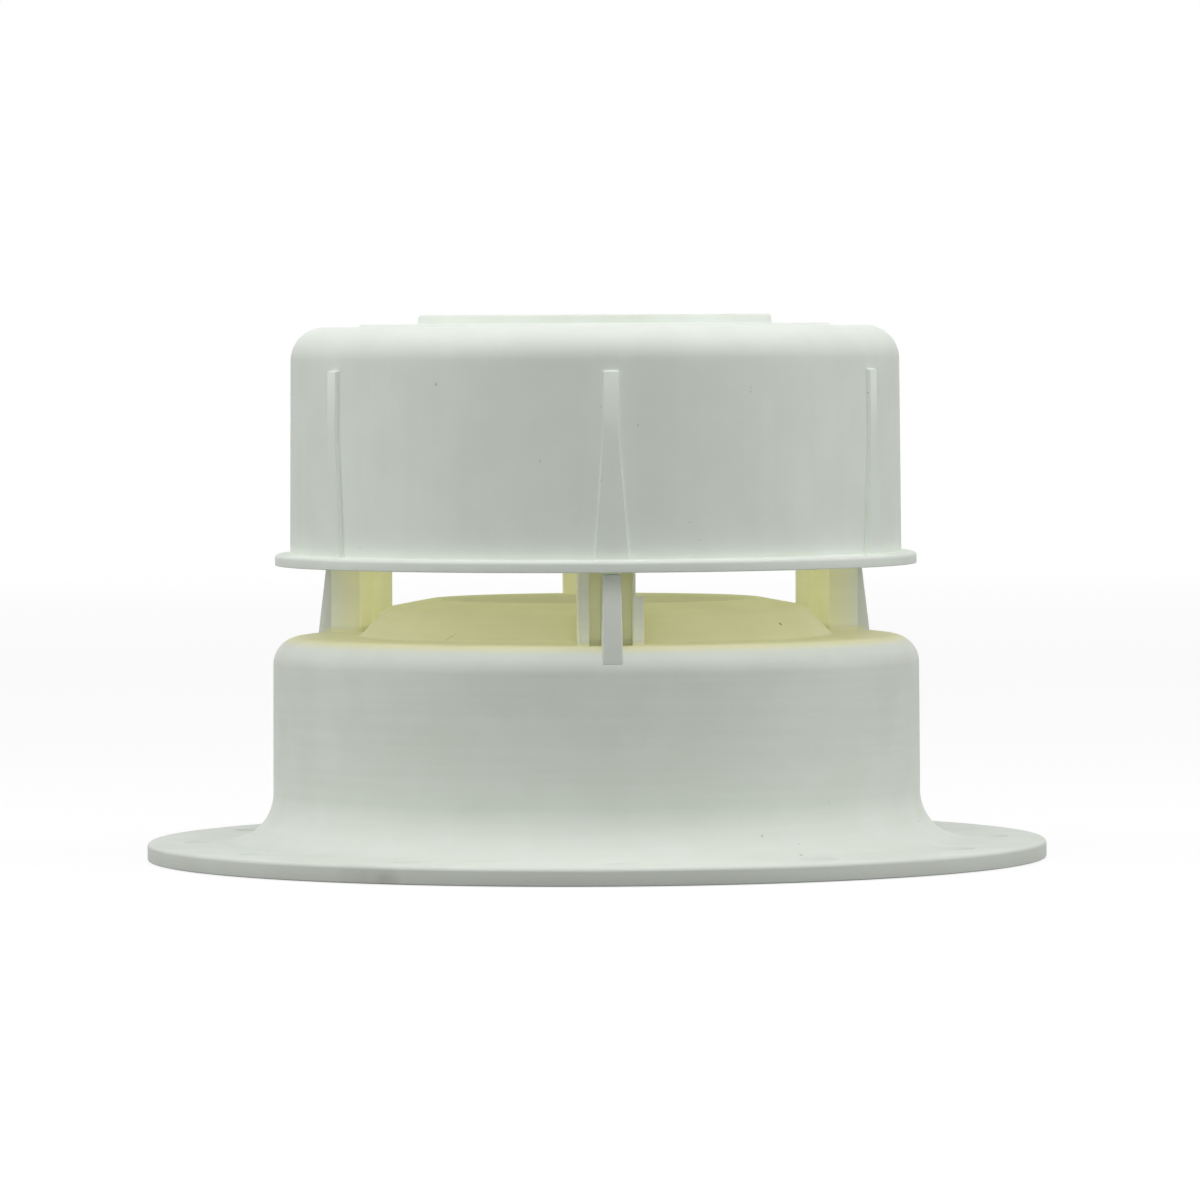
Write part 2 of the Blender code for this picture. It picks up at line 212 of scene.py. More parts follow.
def ease_edges(made: bpy.types.Object, width: float) -> None:
    """Round an object's sharp edges to a width."""
    bevel = made.modifiers.new("edges", "BEVEL")
    bevel.width = width
    bevel.segments = BEVEL_SEGMENTS
    bevel.limit_method = "ANGLE"
    bevel.angle_limit = BEVEL_ANGLE
    bake_modifiers(made)


class Joining(Enum):
    """What a tool does to its target."""

    UNITE = "UNION"
    CUT = "DIFFERENCE"


def merge_in(
    target: bpy.types.Object, tool: bpy.types.Object, how: Joining = Joining.UNITE
) -> None:
    """Unite a tool with a target or cut it out, and delete the tool."""
    step = target.modifiers.new("step", "BOOLEAN")
    step.operation = how.value
    step.solver = "EXACT"
    step.object = tool
    bake_modifiers(target)
    bpy.data.objects.remove(tool, do_unlink=True)


def shade(made: bpy.types.Object, angle: float) -> None:
    """Shade an object smooth, keeping the edges sharper than an angle."""
    made.data.shade_smooth()
    made.data.set_sharp_from_angle(angle=angle)


@dataclass(frozen=True)
class LegPlan:
    """Where the legs stand round the axis. The side legs are turned a little from an equal spacing."""

    count: int = 3
    turn: float = math.radians(2.9)
    side_turn: float = math.radians(-2.15)

    def azimuth(self, index: int) -> float:
        """Give a leg's azimuth: the turn, its share of the circle, and the side legs' own turn."""
        azimuth = self.turn + 2 * math.pi * index / self.count
        return azimuth + self.side_turn if index > 0 else azimuth

    def off_equal(self, places: int) -> np.ndarray:
        """Give how far each of the places round the cap is off an equal spacing, by the leg there."""
        step = places // self.count
        return np.array([
            0.0 if place % step or place == 0 else self.side_turn for place in range(places)
        ])


@dataclass(frozen=True)
class Leg:
    """One leg of the base: a channel open outwards, with a fin down its middle."""

    azimuth: float
    short_bar: bool = False
    half_width: float = 6.3 * MM
    bar_width: float = 2.2 * MM
    wall_radius: float = 50.5 * MM
    wall: float = 2.0 * MM
    fin_half_top: float = 1.75 * MM
    fin_draft: float = math.radians(0.7)
    fin_inner_radius: float = 48.7 * MM
    fin_outer_draft: float = math.radians(7.5)
    fin_foot_drop: float = 3.4 * MM
    fin_foot_setback: float = 0.3 * MM
    short_bar_height: float = 9.5 * MM
    short_bar_strip: float = 0.6 * MM
    top_chamfer: float = 1.0 * MM
    bar_inset: float = 0.7 * MM
    root: float = 1.2 * MM
    edge: float = 0.3 * MM

    def placed(self, outwards: np.ndarray, sideways: np.ndarray, height: np.ndarray) -> np.ndarray:
        """Turn points that are outwards, sideways and up from the axis to the leg's azimuth."""
        outwards, sideways, height = np.broadcast_arrays(outwards, sideways, height)
        sine, cosine = math.sin(self.azimuth), math.cos(self.azimuth)
        x = outwards * sine + sideways * cosine
        y = sideways * sine - outwards * cosine
        return np.stack((x, y, height), axis=-1)

    def block(self, name: str, depth: Span, width: Span, height: Span) -> bpy.types.Object:
        """Make an upright block at the leg's azimuth.

        Args:
            name: the new object's name.
            depth: its two distances outwards from the axis.
            width: its two distances sideways.
            height: its foot and its top.

        Returns:
            The block.
        """
        (inner, outer), (near, far) = depth, width
        plan = np.array(((inner, near), (outer, near), (outer, far), (inner, far)))
        surface = Surface()
        surface.add_tube(self.placed(plan[None, :, 0], plan[None, :, 1], np.array(height)[:, None]))
        return surface.build(name)

    def bar(self, side: int, outer: float, height: Span) -> bpy.types.Object:
        """Make one of the channel's two side bars."""
        width = side * (self.half_width - self.bar_width), side * self.half_width
        return self.block("leg_bar", (self.wall_radius + self.wall / 2, outer), width, height)

    def back(self, height: Span) -> bpy.types.Object:
        """Make the channel's back wall."""
        depth = self.wall_radius, self.wall_radius + self.wall
        return self.block("leg_back", depth, (-self.half_width, self.half_width), height)

    def notch(self, height: Span) -> bpy.types.Object:
        """Make the block that is cut from the short bar's top and the wall behind it."""
        depth = self.wall_radius - self.wall, self.wall_radius + 6 * self.wall
        near = self.half_width - self.bar_width + self.short_bar_strip
        return self.block("leg_notch", depth, (near, self.half_width + self.wall), height)

    def fin(self, base: "BaseMoulding") -> bpy.types.Object:
        """Make the fin: its side view carried across its thickness, thinner towards the top."""
        foot_z = base.deck - self.fin_foot_drop
        shoulder_z = base.lip_z - base.seat_gap
        foot_radius = base.collar_radius - self.fin_foot_setback
        shoulder_radius = foot_radius - (shoulder_z - foot_z) * math.tan(self.fin_outer_draft)
        tongue = base.tongue_radius
        root_z = base.deck - self.root
        view = np.array((
            (self.fin_inner_radius, root_z),
            (base.collar_radius - base.collar_top_round / 2, root_z),
            (base.collar_radius - base.wall / 2, foot_z),
            (foot_radius, foot_z),
            (shoulder_radius, shoulder_z),
            (tongue, shoulder_z),
            (tongue, base.leg_top - self.top_chamfer),
            (tongue - self.top_chamfer, base.leg_top),
            (self.fin_inner_radius, base.leg_top),
        ))
        half = self.fin_half_top + (shoulder_z - view[:, 1]) * math.tan(self.fin_draft)
        surface = Surface()
        across = np.array((-1.0, 1.0))[:, None]
        surface.add_tube(self.placed(view[None, :, 0], across * half[None, :], view[None, :, 1]))
        return surface.build("leg_fin")

    def build(self, base: "BaseMoulding") -> bpy.types.Object:
        """Make the leg.

        Args:
            base: the moulding that the leg stands on, for the sizes that they share.

        Returns:
            One closed object, its root inside the deck.
        """
        outer = math.sqrt((base.tongue_radius - self.bar_inset) ** 2 - self.half_width ** 2)
        height = base.deck - self.root, base.leg_top - self.top_chamfer
        leg = self.back(height)
        ease_edges(leg, self.edge)
        for side in (-1, 1):
            part = self.bar(side, outer, height)
            ease_edges(part, self.edge)
            merge_in(leg, part)
        if self.short_bar:
            cut = base.deck + self.short_bar_height, height[1] + self.wall
            merge_in(leg, self.notch(cut), Joining.CUT)
        fin = self.fin(base)
        ease_edges(fin, self.edge)
        merge_in(leg, fin)
        return leg


@dataclass(frozen=True)
class BaseMoulding:
    """Base moulding: flange with countersunk holes, collar, dome round the pipe opening, legs."""

    flange_radius: float
    lip_z: float
    leg_top: float
    flange_thickness: float = 3.5 * MM
    flange_edge_round: float = 0.8 * MM
    wall: float = 2.2 * MM
    collar_radius: float = 63.9 * MM
    collar_draft: float = 0.2 * MM
    deck: float = 44.0 * MM
    collar_foot_fillet: float = 9.7 * MM
    collar_top_round: float = 5.5 * MM
    opening_radius: float = 30.7 * MM
    dome_rise: float = 7.3 * MM
    dome_top_slope: float = math.radians(10.5)
    dome_shoulder_radius: float = 41.3 * MM
    dome_shoulder_round: float = 4.0 * MM
    dome_foot_radius: float = 46.8 * MM
    dome_foot_fillet: float = 1.2 * MM
    neck_depth: float = 6.0 * MM
    neck_root_fillet: float = 0.5 * MM
    rim_round: float = 0.6 * MM
    hidden_round: float = 0.3 * MM
    screw_count: int = 12
    screw_turn: float = math.radians(3.0)
    screw_circle: float = 77.5 * MM
    screw_hole: float = 2.2 * MM
    countersink: float = 4.4 * MM
    countersink_depth: float = 1.8 * MM
    hole_round: float = 0.25 * MM
    hole_border: float = 0.6 * MM
    hole_blend: tuple[float, ...] = (1.0, 0.72, 0.48, 0.28, 0.12)
    legs: LegPlan = LegPlan()
    post_half_width: float = 4.2 * MM
    seat_gap: float = 0.3 * MM
    tongue_radius: float = 58.6 * MM
    ring_inner: float = 72.4 * MM
    ring_outer: float = 84.0 * MM
    degrees_per_column: float = 1.0
    sharp_angle: float = math.radians(32)

    def upper_path(self) -> np.ndarray:
        """Path along the outside, from the rim of the opening out to the flange's top edge."""
        return filleted([
            (self.opening_radius, self.deck, 0.0, 0),
            (self.opening_radius, self.rim_z, self.rim_round, 5),
            (*self.outside[0], self.rim_round, 5),
            (*self.outside[1], self.dome_shoulder_round, 12),
            (*self.outside[2], self.dome_foot_fillet, 6),
            (*self.outside[3], self.collar_top_round, 16),
            (*self.outside[4], self.collar_foot_fillet, 40),
            (self.ring_outer, self.flange_thickness, 0.0, 0),
        ])[1:]

    def lower_path(self) -> np.ndarray:
        """Path along the underside, from the flange's inner ring in to the bore of the neck."""
        neck, shoulder, foot, collar_top, collar_foot = offset_corners(self.outside, self.wall)
        neck_radius = self.opening_radius + self.wall
        neck_z = neck[1] - (neck_radius - neck[0]) * math.tan(self.dome_top_slope)
        neck_low = self.rim_z - self.neck_depth
        return filleted([
            (self.ring_outer, 0.0, 0.0, 0),
            (collar_foot[0], 0.0, self.collar_foot_fillet + self.wall, 40),
            (*collar_top, self.collar_top_round - self.wall, 10),
            (*foot, self.dome_foot_fillet, 4),
            (*shoulder, self.dome_shoulder_round - self.wall, 6),
            (neck_radius, neck_z, self.neck_root_fillet, 4),
            (neck_radius, neck_low, self.hidden_round, 3),
            (self.opening_radius, neck_low, self.hidden_round, 3),
            (self.opening_radius, self.rim_z - self.rim_round, 0.0, 0),
        ])

    @property
    def rim_z(self) -> float:
        """Height of the dome's rim."""
        return self.deck + self.dome_rise

    @property
    def outside(self) -> list[tuple[float, float]]:
        """Corners of the outside, from the rim to the foot of the collar."""
        rim_outer = self.opening_radius + self.wall
        fall = (self.dome_shoulder_radius - rim_outer) * math.tan(self.dome_top_slope)
        return [
            (rim_outer, self.rim_z),
            (self.dome_shoulder_radius, self.rim_z - fall),
            (self.dome_foot_radius, self.deck),
            (self.collar_radius, self.deck),
            (self.collar_radius + self.collar_draft, self.flange_thickness),
        ]

    def columns(self) -> np.ndarray:
        """Azimuths of the turned surfaces' columns, one of them at each screw hole."""
        count = round(360 / self.degrees_per_column)
        return self.screw_turn + np.arange(count) * 2 * math.pi / count

    def turned(self, path: np.ndarray) -> np.ndarray:
        """Turn a path about the axis into a grid of points."""
        return around_axis(path[:, :1], self.columns()[None, :], path[:, 1:])

    def ring_height(self, path: np.ndarray, points: np.ndarray) -> np.ndarray:
        """Height of a path's outer stretch, along the flange, as far from the axis as points are."""
        outer = path[path[:, 0] > self.ring_inner - 2 * MM]
        order = np.argsort(outer[:, 0])
        return np.interp(np.hypot(points[..., 0], points[..., 1]), outer[order, 0], outer[order, 1])

    def cut_at_ring(self, path: np.ndarray) -> np.ndarray:
        """Keep a path's points inside the flange's inner ring radius, with a point on that radius."""
        height = float(self.ring_height(path, np.array((self.ring_inner, 0.0))))
        edge = np.array(((self.ring_inner, height),))
        inside = path[path[:, 0] < self.ring_inner]
        starts_outside = path[0, 0] > self.ring_inner
        return np.vstack((edge, inside) if starts_outside else (inside, edge))

    def hole_profile(self) -> np.ndarray:
        """Path down a screw hole, as its radius and height, from the top's flat to the underside's."""
        top = self.flange_thickness
        return filleted([
            (self.countersink + self.hole_border, top, 0.0, 0),
            (self.countersink, top, self.hole_round, 4),
            (self.screw_hole, top - self.countersink_depth, self.hidden_round, 4),
            (self.screw_hole, 0.0, self.hole_round, 4),
            (self.screw_hole + self.hole_border, 0.0, 0.0, 0),
        ])

    def sector_border(self, azimuth: float, across: int, along: int) -> np.ndarray:
        """Work out the border of the sector round one screw hole.

        Args:
            azimuth: the hole's.
            across: how many points each of the two arcs has.
            along: how many points each of the two straight sides has.

        Returns:
            Its points, in order, at height 0.
        """
        half = math.pi / self.screw_count
        sides = np.linspace(0.0, 1.0, across, endpoint=False)
        ends = np.linspace(0.0, 1.0, along, endpoint=False)
        inner, outer = self.ring_inner, self.ring_outer
        turn = np.concatenate((
            half * (2 * sides - 1), np.full(along, half),
            half * (1 - 2 * sides), np.full(along, -half),
        ))
        reach = np.concatenate((
            np.full(across, inner), inner + (outer - inner) * ends,
            np.full(across, outer), outer - (outer - inner) * ends,
        ))
        return around_axis(reach, azimuth + turn, np.zeros(len(turn)))

    def screw_sector(self, index: int, upper: np.ndarray, lower: np.ndarray) -> np.ndarray:
        """Work out the sector of the flange round one screw hole.

        Rows run from the sector's border on the top, in to the hole as a blend between the border and
        a circle, down the countersink and bore as circles, and out to the border on the underside.

        Args:
            index: which hole.
            upper: path along the outside, for the height of the top.
            lower: path along the underside, for its height.

        Returns:
            A grid of points that wraps round the hole.
        """
        across = round(360 / self.screw_count / self.degrees_per_column)
        along = across // 3
        azimuth = self.screw_turn + 2 * math.pi * index / self.screw_count
        border = self.sector_border(azimuth, across, along)
        start = -math.pi / 2 - math.pi * across / (2 * (across + along))
        angle = start + np.arange(len(border)) * 2 * math.pi / len(border)
        centre = around_axis(np.array(self.screw_circle), np.array(azimuth), np.array(0.0))
        tangent = np.array((math.cos(azimuth), math.sin(azimuth), 0.0))
        outward = np.array((math.sin(azimuth), -math.cos(azimuth), 0.0))
        circle = np.cos(angle)[:, None] * tangent + np.sin(angle)[:, None] * outward
        hole = self.hole_profile()
        spread = np.array(self.hole_blend)[:, None, None]
        narrow = spread[::-1]
        flat_top = (1 - spread) * (centre + hole[0, 0] * circle)[None] + spread * border[None]
        flat_low = (1 - narrow) * (centre + hole[-1, 0] * circle)[None] + narrow * border[None]
        walls = centre + hole[:, :1, None] * circle[None]
        flat_top[..., 2] = self.ring_height(upper, flat_top)
        flat_low[..., 2] = self.ring_height(lower, flat_low)
        top = self.flange_thickness
        lift = self.ring_height(upper, walls) - top
        walls[..., 2] = hole[:, 1:] + lift * (hole[:, 1:] / top) ** 4
        return np.concatenate((flat_top, walls, flat_low))

    def skin(self) -> bpy.types.Object:
        """Make the moulding without its legs, as turned paths round a ring of hole sectors."""
        upper = self.upper_path()
        lower = self.lower_path()
        edge = filleted([
            (self.ring_outer, self.flange_thickness, 0.0, 0),
            (self.flange_radius, self.flange_thickness, self.flange_edge_round, 8),
            (self.flange_radius, 0.0, self.hidden_round, 4),
            (self.ring_outer, 0.0, 0.0, 0),
        ])
        surface = Surface()
        surface.add(self.turned(self.cut_at_ring(upper)))
        surface.add(self.turned(self.cut_at_ring(lower)))
        surface.add(self.turned(edge))
        surface.add(self.turned(np.array((lower[-1], upper[0]))))
        for index in range(self.screw_count):
            surface.add(self.screw_sector(index, upper, lower))
        return surface.build("base_moulding")

    def post(self) -> bpy.types.Object:
        """Make the plain post across from the front leg."""
        place = Leg(self.legs.turn + math.pi, half_width=self.post_half_width)
        post = place.back((self.deck - place.root, self.leg_top - place.top_chamfer))
        ease_edges(post, place.edge)
        return post

    def build(self) -> bpy.types.Object:
        """Make the whole moulding.

        Returns:
            One closed object.
        """
        base = self.skin()
        for index in range(self.legs.count):
            leg = Leg(self.legs.azimuth(index), short_bar=index == 0)
            merge_in(base, leg.build(self))
        merge_in(base, self.post())
        shade(base, self.sharp_angle)
        return base


@dataclass(frozen=True)
class CapMoulding:
    """Cap moulding: lip, drafted wall with tapered ribs, and a stepped top."""

    lip_z: float
    lip_radius: float
    top_z: float
    leg_top: float
    lip_thickness: float = 2.3 * MM
    lip_top_round: float = 1.75 * MM
    lip_low_round: float = 0.25 * MM
    cap_radius: float = 60.5 * MM
    draft: float = 0.35 * MM
    wall: float = 2.2 * MM
    shoulder_round: float = 6.6 * MM
    plateau_radius: float = 46.2 * MM
    plateau_rise: float = 0.5 * MM
    disc_radius: float = 34.8 * MM
    disc_rise: float = 1.8 * MM
    disc_draft: float = 0.3 * MM
    top_edge_round: float = 0.5 * MM
    disc_foot_fillet: float = 0.3 * MM
    wall_foot_fillet: float = 0.4 * MM
    ceiling_round: float = 0.8 * MM
    sharp_angle: float = math.radians(38)
    rib_count: int = 6
    legs: LegPlan = LegPlan()
    rib_top_below_crown: float = 8.6 * MM
    rib_straight: float = 12.5 * MM
    rib_top_width: float = 3.0 * MM
    rib_foot_width: float = 6.7 * MM
    rib_standoff: float = 0.7 * MM
    rib_edge: float = 0.28 * MM
    slot_depth: float = 0.7 * MM
    slot_top_width: float = 4.3 * MM
    slot_foot_width: float = 5.5 * MM
    plain_columns: int = 40
    edge_columns: int = 4
    rib_columns: int = 4

    @property
    def crown_z(self) -> float:
        """Height of the top's outer part, below the two steps."""
        return self.top_z - self.plateau_rise - self.disc_rise

    @property
    def lip_top(self) -> float:
        """Height of the lip's upper face."""
        return self.lip_z + self.lip_thickness

    def outside_rows(self) -> np.ndarray:
        """Rows down the outside: radius, height, rib width there, and how far the rib stands out."""
        shoulder = self.cap_radius - self.draft
        plateau_z = self.crown_z + self.plateau_rise
        top = filleted([
            (0.0, self.top_z, 0.0, 0),
            (self.disc_radius, self.top_z, self.top_edge_round, 6),
            (self.disc_radius + self.disc_draft, plateau_z, self.disc_foot_fillet, 4),
            (self.plateau_radius, plateau_z, self.top_edge_round, 4),
            (self.plateau_radius + self.plateau_rise, self.crown_z, self.top_edge_round, 4),
            (shoulder, self.crown_z, self.shoulder_round, 20),
            (self.cap_radius, self.lip_top, 0.0, 0),
        ])[:-1]
        rib_top = self.crown_z - self.rib_top_below_crown
        wall_foot = self.lip_top + self.wall_foot_fillet
        fine = self.rib_edge / 2
        heights = np.concatenate((
            rib_top + np.array((2.0, 1.0, 0.3, -0.3, -1.0)) * fine,
            np.linspace(rib_top - self.rib_straight, wall_foot, 12),
        ))
        slope = self.draft / (self.crown_z - self.lip_top)
        wall = np.stack((self.cap_radius - (heights - self.lip_top) * slope, heights), axis=1)
        foot = filleted([
            (self.cap_radius, wall_foot, 0.0, 0),
            (self.cap_radius, self.lip_top, self.wall_foot_fillet, 4),
            (self.cap_radius + 0.5 * MM, self.lip_top, 0.0, 0),
        ])[1:]
        out = np.zeros(len(top) + len(wall) + len(foot))
        rows = np.vstack((top, wall, foot))
        out[rows[:, 1] < rib_top + 0.5 * fine] = 0.5
        out[rows[:, 1] < rib_top - 0.2 * fine] = 0.9
        out[rows[:, 1] < rib_top - 0.9 * fine] = 1.0
        straight_low = rib_top - self.rib_straight
        low_part = np.clip((straight_low - rows[:, 1]) / (straight_low - self.lip_top), 0, 1)
        width = self.rib_top_width + (self.rib_foot_width - self.rib_top_width) * low_part
        return np.column_stack((rows, width, out * self.rib_standoff))

    def lip_rows(self) -> np.ndarray:
        """Rows round the lip, where there is no rib."""
        path = filleted([
            (self.cap_radius + 1.4 * MM, self.lip_top, 0.0, 0),
            (self.lip_radius, self.lip_top, self.lip_top_round, 8),
            (self.lip_radius, self.lip_z, self.lip_low_round, 6),
            (self.cap_radius - 0.4 * MM, self.lip_z, 0.0, 0),
        ])
        width = np.linspace(self.rib_foot_width, self.slot_foot_width, len(path))
        return np.column_stack((path, width, np.zeros(len(path))))

    def inside_rows(self) -> np.ndarray:
        """Rows up the inside, where each rib has a slot behind it, and across the ceiling."""
        inner = self.cap_radius - self.wall
        ceiling = self.crown_z - self.wall
        slot_top = self.leg_top + 2.0 * MM
        narrow = self.leg_top - 2.0 * MM
        start = np.array(((inner + 0.3 * MM, self.lip_z), (inner, self.lip_z + 0.3 * MM)))
        heights = np.concatenate((
            np.linspace(self.lip_z + 2.0 * MM, narrow, 8), [slot_top - 0.1 * MM, slot_top + 0.1 * MM]
        ))
        slope = self.draft / (ceiling - self.lip_z)
        wall = np.stack((inner - (heights - self.lip_z) * slope, heights), axis=1)
        high = ceiling + self.plateau_rise + self.disc_rise
        top = filleted([
            (inner - self.draft, slot_top + 1.0 * MM, 0.0, 0),
            (inner - self.draft, ceiling, self.shoulder_round - self.wall, 12),
            (self.disc_radius, ceiling, self.ceiling_round, 4),
            (self.disc_radius - self.disc_rise, high, self.ceiling_round, 4),
            (0.0, high, 0.0, 0),
        ])
        rows = np.vstack((start, wall, top))
        deep = np.where(rows[:, 1] < slot_top, self.slot_depth, 0.0)
        fall = np.clip((narrow - rows[:, 1]) / (narrow - self.lip_z), 0, 1)
        width = self.slot_top_width + (self.slot_foot_width - self.slot_top_width) * fall
        return np.column_stack((rows, width, deep))

    def build(self) -> bpy.types.Object:
        """Make the moulding as one grid.

        Each row is a circle. Its columns crowd at the two edges of a rib, which sit half the rib's
        width from its middle, so that they follow the rib's taper from row to row. Between the edges
        the radius grows by the rib's standoff, with an eased step at each edge. Inside, the columns
        turn with the slots, which stand where the legs do, and the turn is evened out between slots.

        Returns:
            One closed object.
        """
        parts = self.outside_rows(), self.lip_rows(), self.inside_rows()
        rows = np.vstack(parts)
        inward = np.concatenate([
            start + (end - start) * np.linspace(0.0, 1.0, len(part))
            for part, start, end in zip(parts, (0.0, 0.0, 1.0), (0.0, 1.0, 1.0))
        ])[:, None]
        radius, height, width, standoff = (rows[:, index, None] for index in range(4))
        sector = 2 * math.pi / self.rib_count
        near = (width / 2 - self.rib_edge / 2) / self.cap_radius
        far = (width / 2 + self.rib_edge / 2) / self.cap_radius
        plain = np.linspace(0.0, 1.0, self.plain_columns, endpoint=False)[None]
        edge = np.linspace(0.0, 1.0, self.edge_columns, endpoint=False)[None]
        across = np.linspace(0.0, 1.0, self.rib_columns, endpoint=False)[None]
        turn = np.concatenate((
            -far + (far - near) * edge,
            -near + 2 * near * across,
            near + (far - near) * edge,
            far + (sector - 2 * far) * plain,
        ), axis=1)
        full = np.ones_like(across)
        flat = np.zeros_like(plain)
        out = np.concatenate((smooth_step(edge), full, smooth_step(1 - edge), flat), axis=1)
        onward = np.concatenate((np.zeros((1, turn.shape[1] - plain.shape[1])), plain), axis=1)
        off = self.legs.off_equal(self.rib_count)
        azimuth = np.concatenate([
            turn + self.legs.turn + sector * place
            + inward * (off[place] + (off[(place + 1) % self.rib_count] - off[place]) * onward)
            for place in range(self.rib_count)
        ], axis=1)
        blend = np.tile(out, (1, self.rib_count))
        surface = Surface()
        surface.add(around_axis(radius + standoff * blend, azimuth, height))
        cap = surface.build("cap_moulding")
        shade(cap, self.sharp_angle)
        return cap


Link = bpy.types.NodeSocket
Value = float | Link


class NodeDesk:
    """Adds nodes to one tree and links them."""

    def __init__(self, tree: bpy.types.NodeTree) -> None:
        """Work on a tree."""
        self.tree = tree

    def add(
        self, kind: str, fills: dict[str | int, object] | None = None, **settings: object
    ) -> bpy.types.Node:
        """Add a node.

        Args:
            kind: the node's type name.
            fills: a link or a value for each of its inputs that gets one, by name or number.
            settings: values for the node's own properties.

        Returns:
            The node.
        """
        node = self.tree.nodes.new(kind)
        for name, value in settings.items():
            setattr(node, name, value)
        self.fill(node, fills or {})
        return node

    def fill(self, node: bpy.types.Node, fills: dict[str | int, object]) -> None:
        """Give a node's inputs links or values, by name or number."""
        for key, value in fills.items():
            if isinstance(value, Link):
                self.tree.links.new(value, node.inputs[key])
            else:
                node.inputs[key].default_value = value

    def calc(
        self, operation: str, first: Value, second: Value = 0.0, clamp: bool = False
    ) -> Link:
        """Add a Math node.

        Args:
            operation: the node's operation.
            first: its first input.
            second: its second input.
            clamp: whether the result stays between 0 and 1.

        Returns:
            The result.
        """
        fills = {0: first, 1: second}
        return self.add("ShaderNodeMath", fills, operation=operation, use_clamp=clamp).outputs[0]

    def between(self, share: Value, low: float, high: float) -> Link:
        """Give the value that is low at share 0 and high at share 1."""
        fills = {0: share, 1: high - low, 2: low}
        return self.add("ShaderNodeMath", fills, operation="MULTIPLY_ADD").outputs[0]

    def ramp(self, value: Value, low: float, high: float) -> Link:
        """Ease a value from 0 at low to 1 at high. Low may be the larger of the two."""
        ends = (low, high, 0.0, 1.0) if low < high else (high, low, 1.0, 0.0)
        fills = {"Value": value, **dict(zip(("From Min", "From Max", "To Min", "To Max"), ends))}
        node = self.add("ShaderNodeMapRange", fills, interpolation_type="SMOOTHSTEP")
        return node.outputs["Result"]

    def blend(
        self, factor: Value, first: object, second: object, mode: str = "MIX"
    ) -> Link:
        """Blend two colours.

        Args:
            factor: how much of the second shows.
            first: a colour or a link.
            second: a colour or a link.
            mode: the blend mode.

        Returns:
            The blended colour.
        """
        fills = {0: factor, 6: first, 7: second}
        return self.add("ShaderNodeMix", fills, data_type="RGBA", blend_type=mode).outputs[2]

    def noise(self, vector: Link, scale: float, detail: float) -> Link:
        """Add a noise texture and return its value."""
        fills = {"Vector": vector, "Scale": scale, "Detail": detail}
        return self.add("ShaderNodeTexNoise", fills).outputs["Fac"]


class Socket(Enum):
    """Kinds of group sockets."""

    NUMBER = "NodeSocketFloat"
    VECTOR = "NodeSocketVector"


def new_group(
    name: str, inputs: dict[str, Socket], outputs: dict[str, Socket]
) -> tuple[NodeDesk, bpy.types.Node, bpy.types.Node]:
    """Start a shader node group.

    Args:
        name: the group's name.
        inputs: names and kinds of what goes in.
        outputs: names and kinds of what comes out.

    Returns:
        A desk on the group's tree, its input node and its output node.
    """
    tree = bpy.data.node_groups.new(name, "ShaderNodeTree")
    for label, kind in inputs.items():
        tree.interface.new_socket(name=label, in_out="INPUT", socket_type=kind.value)
    for label, kind in outputs.items():
        tree.interface.new_socket(name=label, in_out="OUTPUT", socket_type=kind.value)
    desk = NodeDesk(tree)
    return desk, desk.add("NodeGroupInput"), desk.add("NodeGroupOutput")


def moulded_grain() -> bpy.types.NodeTree:
    """Build the grain of a moulded surface.

    Height mixes a fine matt texture with slow waviness. Sheen is slow patches from 0 to 1, where the
    polish of the mould differs. Streak is noise squeezed along the axes by Stretch, from 0 to 1.

    Returns:
        The group.
    """
    desk, source, result = new_group(
        "moulded_grain",
        {"Vector": Socket.VECTOR, "Fine": Socket.NUMBER, "Stretch": Socket.VECTOR},
        {"Height": Socket.NUMBER, "Sheen": Socket.NUMBER, "Streak": Socket.NUMBER},
    )
    vector = source.outputs["Vector"]
    fine = desk.calc("MULTIPLY", desk.noise(vector, 5200.0, 3.0), source.outputs["Fine"])
    squeezing = {0: vector, 1: source.outputs["Stretch"]}
    stretched = desk.add("ShaderNodeVectorMath", squeezing, operation="MULTIPLY")
    desk.fill(result, {
        "Height": desk.calc("ADD", fine, desk.noise(vector, 62.0, 2.0)),
        "Sheen": desk.ramp(desk.noise(vector, 95.0, 4.0), 0.3, 0.7),
        "Streak": desk.ramp(desk.noise(stretched.outputs["Vector"], 1.0, 2.0), 0.35, 0.65),
    })
    return desk.tree


def round_mark() -> bpy.types.NodeTree:
    """Build a small mark on the surface: a soft-edged ball round a point, 1 at its middle.

    Returns:
        The group.
    """
    desk, source, result = new_group(
        "round_mark",
        {"Vector": Socket.VECTOR, "Centre": Socket.VECTOR, "Radius": Socket.NUMBER},
        {"Mask": Socket.NUMBER},
    )
    ends = {0: source.outputs["Vector"], 1: source.outputs["Centre"]}
    gap = desk.add("ShaderNodeVectorMath", ends, operation="DISTANCE")
    share = desk.calc("DIVIDE", gap.outputs["Value"], source.outputs["Radius"])
    desk.fill(result, {"Mask": desk.ramp(share, 1.0, 0.25)})
    return desk.tree


@dataclass(frozen=True)
class Spot:
    """A point of a surface: its coordinates, its distance from the axis and its height."""

    place: Link
    radius: Link
    height: Link


def surface_spot(desk: NodeDesk) -> Spot:
    """Work out where a point of the surface is, from the object's own coordinates."""
    place = desk.add("ShaderNodeTexCoord").outputs["Object"]
    axes = desk.add("ShaderNodeSeparateXYZ", {0: place})
    across = desk.calc("POWER", axes.outputs["X"], 2.0)
    along = desk.calc("POWER", axes.outputs["Y"], 2.0)
    return Spot(place, desk.calc("SQRT", desk.calc("ADD", across, along)), axes.outputs["Z"])


